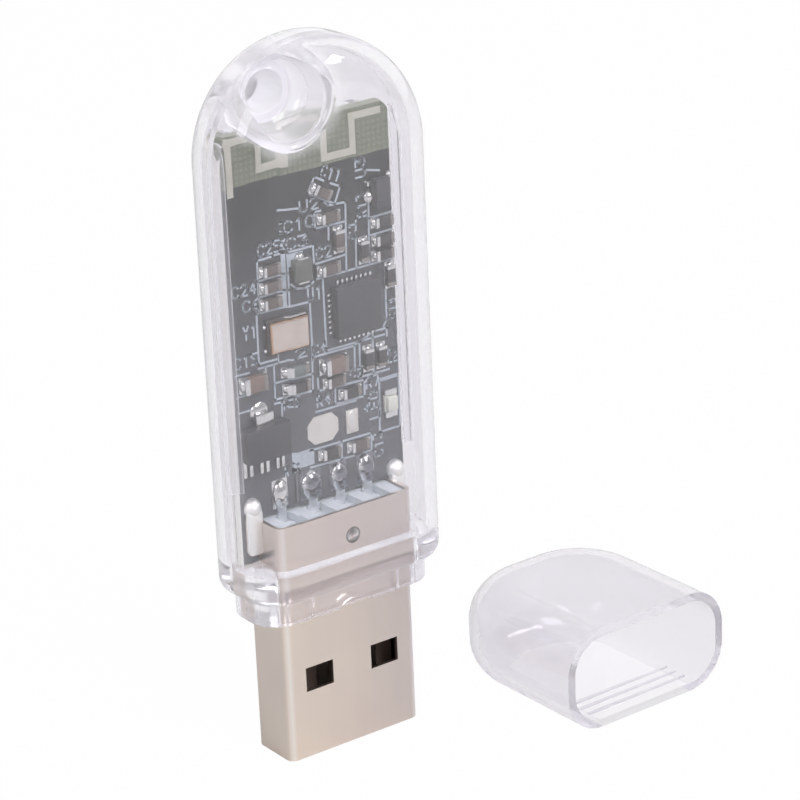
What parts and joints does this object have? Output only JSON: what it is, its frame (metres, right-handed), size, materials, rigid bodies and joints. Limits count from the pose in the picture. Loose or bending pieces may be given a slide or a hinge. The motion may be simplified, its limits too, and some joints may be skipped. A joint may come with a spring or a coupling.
{
  "type": "usb signal repeater",
  "caption": "Clear plastic stick with a rounded top, lanyard eyelet and USB plug, its circuit board in view and its clear cap lying beside it.",
  "frame": {"origin": "middle of the plug's open end, on the surface that the stick stands on", "axes": "+Z along the stick from plug to eyelet, +Y from the board's populated face towards the rear cover, +X to the right seen from the front"},
  "size_m": [0.0368, 0.0174, 0.0553],
  "materials": {
    "clear_plastic": "polished clear plastic",
    "nickel": "nickel plated, satin",
    "insulator": "moulded, matt",
    "contact_gold": "plated",
    "board": "dark grey solder mask",
    "trace": "tinned copper",
    "ceramic_brown": "ceramic",
    "ceramic_dark": "moulded",
    "solder": "tin solder",
    "crystal_lid": "plated lid",
    "filter_ceramic": "ceramic",
    "lamp_body": "moulded"
  },
  "bodies": {
    "root": {"antenna_filter": "filter_ceramic", "antenna_trace": "trace", "cap": "clear_plastic", "capacitor_c1": "ceramic_brown", "capacitor_c10": "ceramic_brown", "capacitor_c11": "ceramic_brown", "capacitor_c13": "ceramic_brown", "capacitor_c15": "ceramic_brown", "capacitor_c2": "ceramic_brown", "capacitor_c24": "ceramic_brown", "capacitor_c25": "ceramic_brown", "capacitor_c4": "ceramic_brown", "capacitor_c5": "ceramic_brown", "capacitor_c6": "ceramic_brown", "circuit_board": "board", "contact_solder_1": "solder", "contact_solder_2": "solder", "contact_solder_3": "solder", "contact_solder_4": "solder", "crystal": "crystal_lid", "front_cover": "clear_plastic", "inductor_l2": "ceramic_brown", "plug_contact_1": "contact_gold", "plug_contact_2": "contact_gold", "plug_contact_3": "contact_gold", "plug_contact_4": "contact_gold", "plug_insulator": "insulator", "plug_shell": "nickel", "radio_chip": "ceramic_dark", "rear_cover": "clear_plastic", "regulator": "ceramic_dark", "resistor_r1": "ceramic_dark", "resistor_r10": "ceramic_dark", "resistor_r13": "ceramic_dark", "resistor_r2": "ceramic_dark", "resistor_r3": "ceramic_dark", "resistor_r4": "ceramic_dark", "resistor_r5": "ceramic_dark", "resistor_r6": "ceramic_dark", "resistor_r8": "ceramic_dark", "resistor_r9": "ceramic_dark", "shell_solder_left": "solder", "shell_solder_right": "solder", "solder_bridge": "solder", "status_lamp": "lamp_body", "supply_chip": "ceramic_dark", "test_pad": "trace"}
  },
  "joints": []
}
